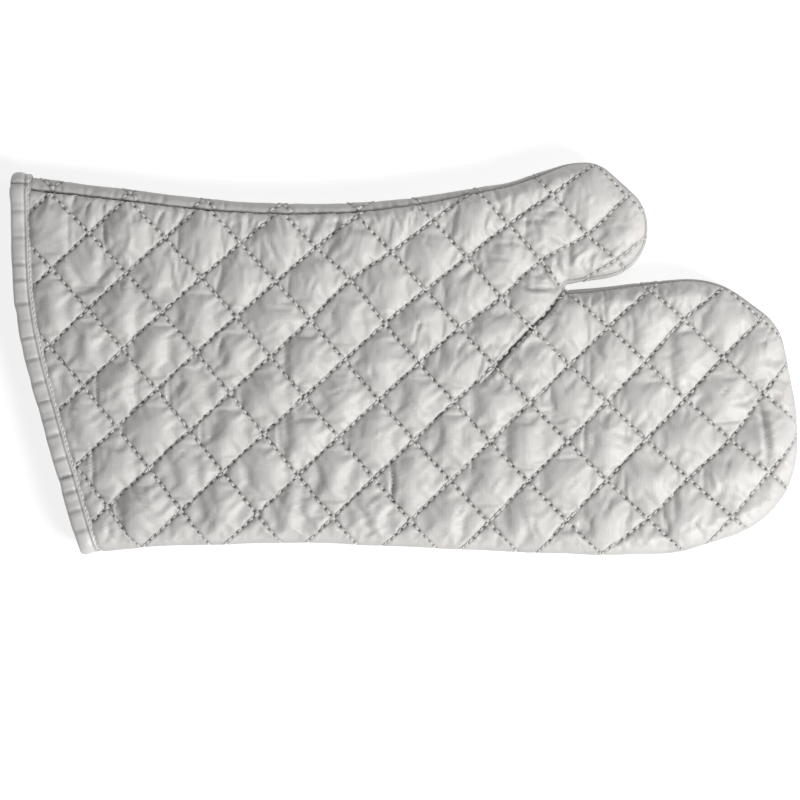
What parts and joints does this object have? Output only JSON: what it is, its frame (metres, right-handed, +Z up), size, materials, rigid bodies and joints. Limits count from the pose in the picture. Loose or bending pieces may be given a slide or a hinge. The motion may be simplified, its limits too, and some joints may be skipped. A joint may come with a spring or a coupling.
{
  "type": "oven mitt",
  "caption": "Quilted oven mitt with a thumb and a long flared cuff bound at its edge; fingers and thumb fold towards the palm.",
  "frame": {"origin": "middle of the outline's box, on the surface that the back panel lies on", "axes": "+X towards the fingertips, +Y towards the thumb, +Z up, out of the palm panel"},
  "size_m": [0.432, 0.2152, 0.028],
  "materials": {
    "shell": "silver-grey coated cotton, quilted, satin",
    "batting": "needled cotton wadding",
    "lining": "plain woven cotton",
    "binding": "silver-grey coated cotton tape, smooth satin",
    "thread": "twisted polyester sewing thread"
  },
  "bodies": {
    "hand": {"front_shell_hand": "shell", "front_batting_hand": "batting", "front_lining_hand": "lining", "front_quilting_thread_hand": "thread", "back_shell_hand": "shell", "back_batting_hand": "batting", "back_lining_hand": "lining", "back_quilting_thread_hand": "thread", "front_cuff_binding": "binding", "front_binding_stitching": "thread", "back_cuff_binding": "binding", "back_binding_stitching": "thread", "seam_thread_thumb_edge": "thread", "seam_thread_crotch": "thread", "seam_thread_little_finger_edge": "thread", "bar_tack_thumb_edge": "thread", "bar_tack_little_finger_edge": "thread"},
    "fingers": {"front_shell_fingers": "shell", "front_batting_fingers": "batting", "front_lining_fingers": "lining", "front_quilting_thread_fingers": "thread", "back_shell_fingers": "shell", "back_batting_fingers": "batting", "back_lining_fingers": "lining", "back_quilting_thread_fingers": "thread", "seam_thread_fingers": "thread"},
    "thumb": {"front_shell_thumb": "shell", "front_batting_thumb": "batting", "front_lining_thumb": "lining", "front_quilting_thread_thumb": "thread", "back_shell_thumb": "shell", "back_batting_thumb": "batting", "back_lining_thumb": "lining", "back_quilting_thread_thumb": "thread", "seam_thread_thumb": "thread"}
  },
  "joints": [
    {"name": "finger_fold", "type": "hinge", "parent": "hand", "child": "fingers", "pos_m": [0.118, 0, 0.014], "axis": [0, -1, 0], "range_deg": [0, 60]},
    {"name": "thumb_fold", "type": "hinge", "parent": "hand", "child": "thumb", "pos_m": [0.1022, 0.0443, 0.014], "axis": [0.454, -0.891, 0], "range_deg": [0, 45]}
  ]
}
